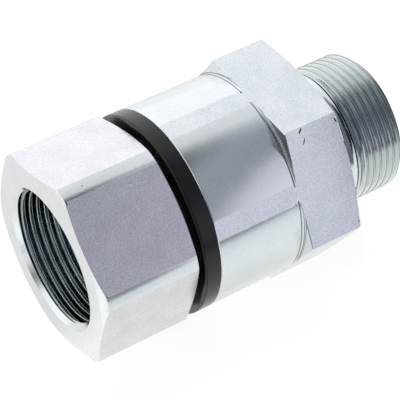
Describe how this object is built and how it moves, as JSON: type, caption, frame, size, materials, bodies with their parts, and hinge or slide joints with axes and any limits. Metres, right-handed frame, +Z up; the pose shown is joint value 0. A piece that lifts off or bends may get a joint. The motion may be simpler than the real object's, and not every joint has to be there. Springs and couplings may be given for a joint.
{
  "type": "hydraulic rotary union",
  "caption": "Straight ball-bearing hydraulic swivel: a female-threaded hexagon spindle turns in a male-threaded hexagon housing",
  "frame": {"origin": "on the axis of the union, at half of its length", "axes": "+X along the axis from the female port to the male stud, +Z up, with a flat of the housing's hexagon facing straight down"},
  "size_m": [0.105, 0.069, 0.0608],
  "materials": {
    "zinc_plated_steel": "bright zinc plate with a thin blue passivation",
    "black_oxide_steel": "black oxide",
    "nitrile_rubber": "matt black",
    "filled_ptfe": "bronze-filled PTFE, dull brown",
    "bearing_steel": "ground and polished"
  },
  "bodies": {
    "housing_body": {"housing": "zinc_plated_steel", "front_filling_plug": "black_oxide_steel", "rear_filling_plug": "black_oxide_steel", "dust_ring": "nitrile_rubber", "grease_o_ring": "nitrile_rubber", "guide_ring": "filled_ptfe", "backup_ring": "filled_ptfe", "slipper_ring": "filled_ptfe", "energiser_o_ring": "nitrile_rubber"},
    "spindle_body": {"spindle": "zinc_plated_steel"},
    "front_ball_row": {"front_ball_01": "bearing_steel", "front_ball_02": "bearing_steel", "front_ball_03": "bearing_steel", "front_ball_04": "bearing_steel", "front_ball_05": "bearing_steel", "front_ball_06": "bearing_steel", "front_ball_07": "bearing_steel", "front_ball_08": "bearing_steel", "front_ball_09": "bearing_steel", "front_ball_10": "bearing_steel", "front_ball_11": "bearing_steel", "front_ball_12": "bearing_steel", "front_ball_13": "bearing_steel", "front_ball_14": "bearing_steel", "front_ball_15": "bearing_steel", "front_ball_16": "bearing_steel", "front_ball_17": "bearing_steel"},
    "rear_ball_row": {"rear_ball_01": "bearing_steel", "rear_ball_02": "bearing_steel", "rear_ball_03": "bearing_steel", "rear_ball_04": "bearing_steel", "rear_ball_05": "bearing_steel", "rear_ball_06": "bearing_steel", "rear_ball_07": "bearing_steel", "rear_ball_08": "bearing_steel", "rear_ball_09": "bearing_steel", "rear_ball_10": "bearing_steel", "rear_ball_11": "bearing_steel", "rear_ball_12": "bearing_steel", "rear_ball_13": "bearing_steel", "rear_ball_14": "bearing_steel", "rear_ball_15": "bearing_steel", "rear_ball_16": "bearing_steel", "rear_ball_17": "bearing_steel"}
  },
  "joints": [
    {"name": "spindle_spin", "type": "hinge", "parent": "housing_body", "child": "spindle_body", "pos_m": [0, 0, 0], "axis": [1, 0, 0], "continuous": true},
    {"name": "front_balls_orbit", "type": "hinge", "parent": "housing_body", "child": "front_ball_row", "pos_m": [0, 0, 0], "axis": [1, 0, 0], "continuous": true},
    {"name": "rear_balls_orbit", "type": "hinge", "parent": "housing_body", "child": "rear_ball_row", "pos_m": [0, 0, 0], "axis": [1, 0, 0], "continuous": true}
  ],
  "couplings": [
    {"joint": "front_balls_orbit", "follows": "spindle_spin", "ratio": 0.40909},
    {"joint": "rear_balls_orbit", "follows": "spindle_spin", "ratio": 0.40909}
  ]
}
